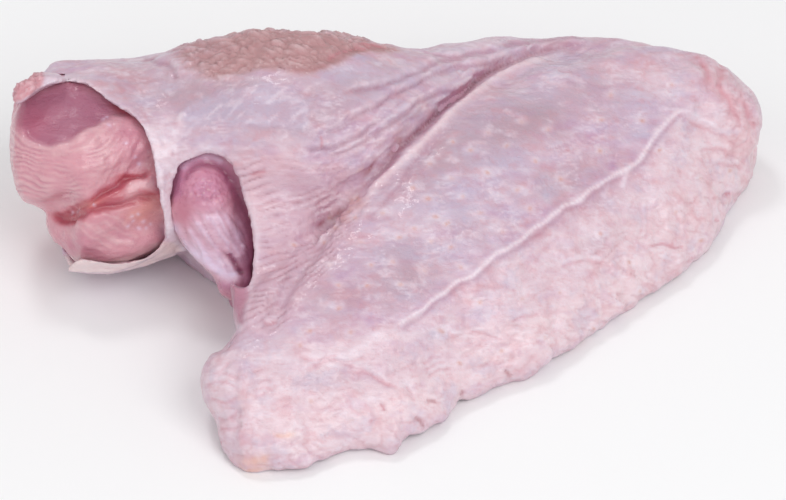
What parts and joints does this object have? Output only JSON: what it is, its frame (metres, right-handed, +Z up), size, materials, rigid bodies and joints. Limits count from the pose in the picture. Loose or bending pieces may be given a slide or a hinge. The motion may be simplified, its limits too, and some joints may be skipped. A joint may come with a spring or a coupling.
{
  "type": "raw turkey wing",
  "caption": "Raw two-joint turkey wing, folded in a V, with pale skin, open pink meat at the shoulder cut, a torn window in the web and a closed wrist end.",
  "frame": {"origin": "on the table, under the middle of the wing's outline", "axes": "+X from the shoulder cut toward the elbow, -Y toward the wrist end, +Z up from the table"},
  "size_m": [0.205, 0.15, 0.0623],
  "materials": {
    "raw_skin": "moist pale pink skin",
    "raw_meat": "wet pink meat"
  },
  "bodies": {
    "root": {"skin": "raw_skin", "meat": "raw_meat"}
  },
  "joints": []
}
